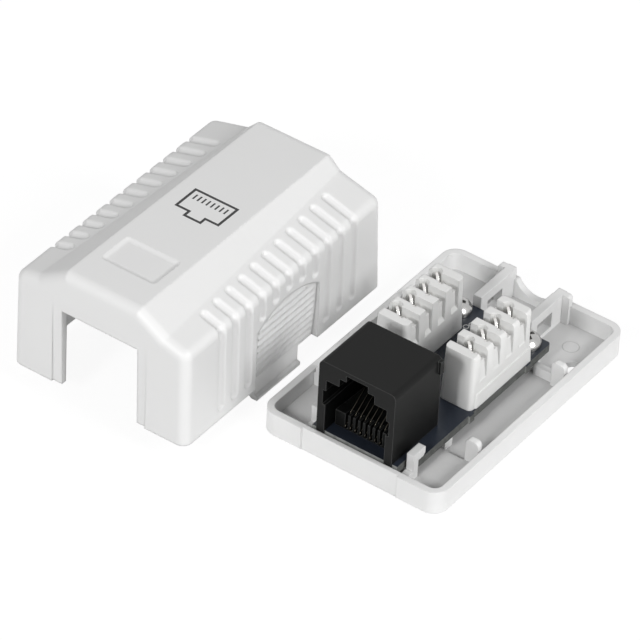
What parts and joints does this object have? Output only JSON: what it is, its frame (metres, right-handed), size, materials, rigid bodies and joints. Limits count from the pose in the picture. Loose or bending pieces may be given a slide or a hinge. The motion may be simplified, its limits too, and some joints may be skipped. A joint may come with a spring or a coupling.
{
  "type": "surface mount jack box",
  "caption": "White surface mount box for one modular network jack, open: tray with board, jack and punch-down blocks, and the ribbed clip-on cover lying beside it.",
  "frame": {"origin": "middle of the tray's back face, the one that goes against the wall", "axes": "+Z out of the wall, -Y the way the jack faces, +Y towards the cable entry; the cover lies at -X"},
  "size_m": [0.0778, 0.073, 0.0286],
  "materials": {
    "tray_plastic": "satin",
    "cover_plastic": "satin",
    "board": "solder mask",
    "jack_plastic": "moulded",
    "block_plastic": "moulded",
    "screw_steel": "nickel plated",
    "contact_gold": "gold flash",
    "contact_tin": "tin plated"
  },
  "bodies": {
    "root": {"base_tray": "tray_plastic", "cover": "cover_plastic", "circuit_board": "board", "jack_housing": "jack_plastic", "jack_contact_carrier": "jack_plastic", "idc_block_left": "block_plastic", "idc_block_right": "block_plastic", "board_screw_left": "screw_steel", "board_screw_right": "screw_steel", "contact_wire_1": "contact_gold", "contact_wire_2": "contact_gold", "contact_wire_3": "contact_gold", "contact_wire_4": "contact_gold", "contact_wire_5": "contact_gold", "contact_wire_6": "contact_gold", "contact_wire_7": "contact_gold", "contact_wire_8": "contact_gold", "idc_contact_left_1": "contact_tin", "idc_contact_left_2": "contact_tin", "idc_contact_left_3": "contact_tin", "idc_contact_left_4": "contact_tin", "idc_contact_right_1": "contact_tin", "idc_contact_right_2": "contact_tin", "idc_contact_right_3": "contact_tin", "idc_contact_right_4": "contact_tin"}
  },
  "joints": []
}
